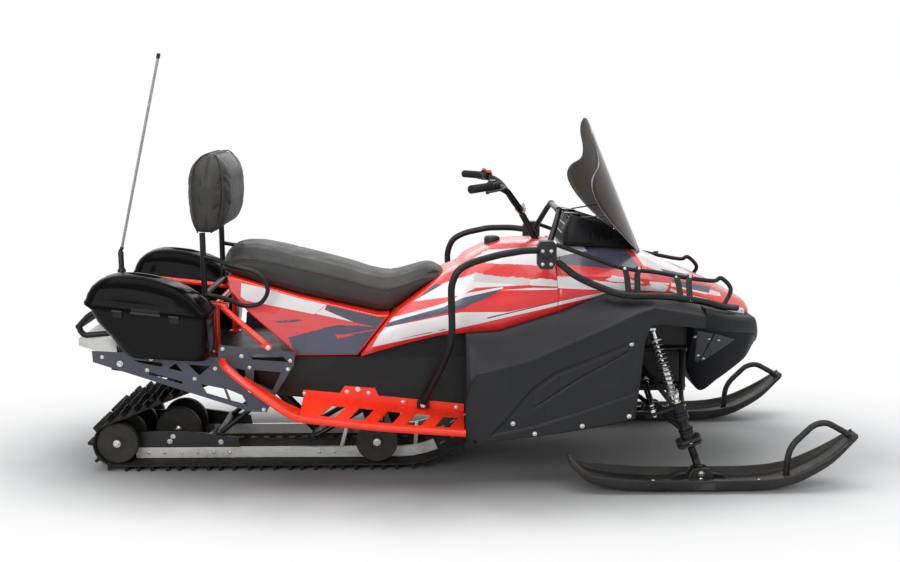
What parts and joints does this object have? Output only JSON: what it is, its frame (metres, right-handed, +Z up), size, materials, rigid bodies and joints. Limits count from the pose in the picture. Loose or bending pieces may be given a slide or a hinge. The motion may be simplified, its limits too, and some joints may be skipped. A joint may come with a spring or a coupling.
{
  "type": "snowmobile",
  "caption": "Two-up utility snowmobile with a tall smoked windshield, side guard bars, rear side cases, a passenger backrest and a whip mast.",
  "frame": {"origin": "on the ground, under the middle of the bounding box", "axes": "+X forwards to the skis' tips, +Y to the rider's left, +Z up"},
  "size_m": [3.17, 1.101, 1.7289],
  "materials": {
    "black_plastic": "textured black body plastic",
    "gloss_black": "gloss black moulded plastic",
    "black_frame": "satin black powder coat",
    "red_frame": "bright orange-red powder coat",
    "slate_plate": "slate grey coated plate",
    "painted_body": "red, white and blue striped body paint",
    "vinyl": "grained black seat vinyl",
    "rubber": "black rubber",
    "aluminium": "extruded rail, brushed",
    "silver_plate": "bare bent plate",
    "steel": null,
    "chrome": "bright plated",
    "smoked_glass": "smoked clear plastic",
    "lamp": "clear lamp lens",
    "red_lamp": "red lamp lens"
  },
  "bodies": {
    "chassis": {"track": "rubber", "rear_wheels": "rubber", "bogie_wheels": "rubber", "upper_wheels": "rubber", "carrier_wheels": "rubber", "drive_axle": "black_plastic", "skid_frame": "aluminium", "skid_arms": "black_frame", "tunnel": "black_frame", "rear_rack": "red_frame", "rear_bumper": "black_frame", "hitch_plate": "silver_plate", "tail_light": "red_lamp", "backrest_frame": "black_frame", "backrest_pad": "vinyl", "whip_mast": "black_frame", "seat": "vinyl", "rear_cowl": "painted_body", "tank_cowl": "painted_body", "fuel_cap": "black_plastic", "column_support": "black_plastic", "hood": "painted_body", "lower_shroud": "black_plastic", "nose_cowl": "black_plastic", "belly_pan": "black_plastic", "engine": "steel", "bulkhead": "black_frame", "windshield": "smoked_glass", "dash": "black_plastic", "steering_hoop": "black_frame", "tail_plate_right": "slate_plate", "tail_plate_left": "slate_plate", "running_board_right": "red_frame", "running_board_left": "red_frame", "case_right": "gloss_black", "case_left": "gloss_black", "side_cover_right": "black_plastic", "side_cover_left": "black_plastic", "lower_arm_right": "black_frame", "lower_arm_left": "black_frame", "upper_arm_right": "black_frame", "upper_arm_left": "black_frame", "shock_right": "chrome", "shock_left": "chrome", "guard_bar_right": "black_frame", "guard_bar_left": "black_frame", "front_guard_right": "black_frame", "front_guard_left": "black_frame", "headlight_right": "lamp", "headlight_left": "lamp"},
    "handlebar_body": {"handlebar": "black_frame"},
    "rack_body": {"tie_rods": "chrome"},
    "lid_right_body": {"lid_right": "gloss_black"},
    "ski_right_body": {"knuckle_right": "black_frame", "ski_right": "black_plastic"},
    "lid_left_body": {"lid_left": "gloss_black"},
    "ski_left_body": {"knuckle_left": "black_frame", "ski_left": "black_plastic"}
  },
  "joints": [
    {"name": "ski_steer_right", "type": "hinge", "parent": "chassis", "child": "ski_right_body", "pos_m": [0.955, -0.463, 0.096], "axis": [-0.3354, 0, 0.9421], "range_deg": [-32, 32]},
    {"name": "ski_steer_left", "type": "hinge", "parent": "chassis", "child": "ski_left_body", "pos_m": [0.955, 0.463, 0.096], "axis": [-0.3354, 0, 0.9421], "range_deg": [-32, 32]},
    {"name": "steering", "type": "hinge", "parent": "chassis", "child": "handlebar_body", "pos_m": [0.285, 0, 1.043], "axis": [-0.4817, 0, 0.8763], "range_deg": [-40, 40]},
    {"name": "rack_slide", "type": "slide", "parent": "chassis", "child": "rack_body", "axis": [0, 1, 0], "range_m": [-0.0545, 0.0545]},
    {"name": "lid_right_hinge", "type": "hinge", "parent": "chassis", "child": "lid_right_body", "pos_m": [-1.222, -0.466, 0.718], "axis": [0.9937, 0, -0.1123], "range_deg": [0, 100]},
    {"name": "lid_left_hinge", "type": "hinge", "parent": "chassis", "child": "lid_left_body", "pos_m": [-1.222, 0.466, 0.718], "axis": [-0.9937, 0, 0.1123], "range_deg": [0, 100]}
  ],
  "couplings": [
    {"joint": "ski_steer_left", "follows": "ski_steer_right", "ratio": 1},
    {"joint": "steering", "follows": "ski_steer_right", "ratio": 1.25},
    {"joint": "rack_slide", "follows": "ski_steer_right", "m_per_rad": -0.0965}
  ]
}
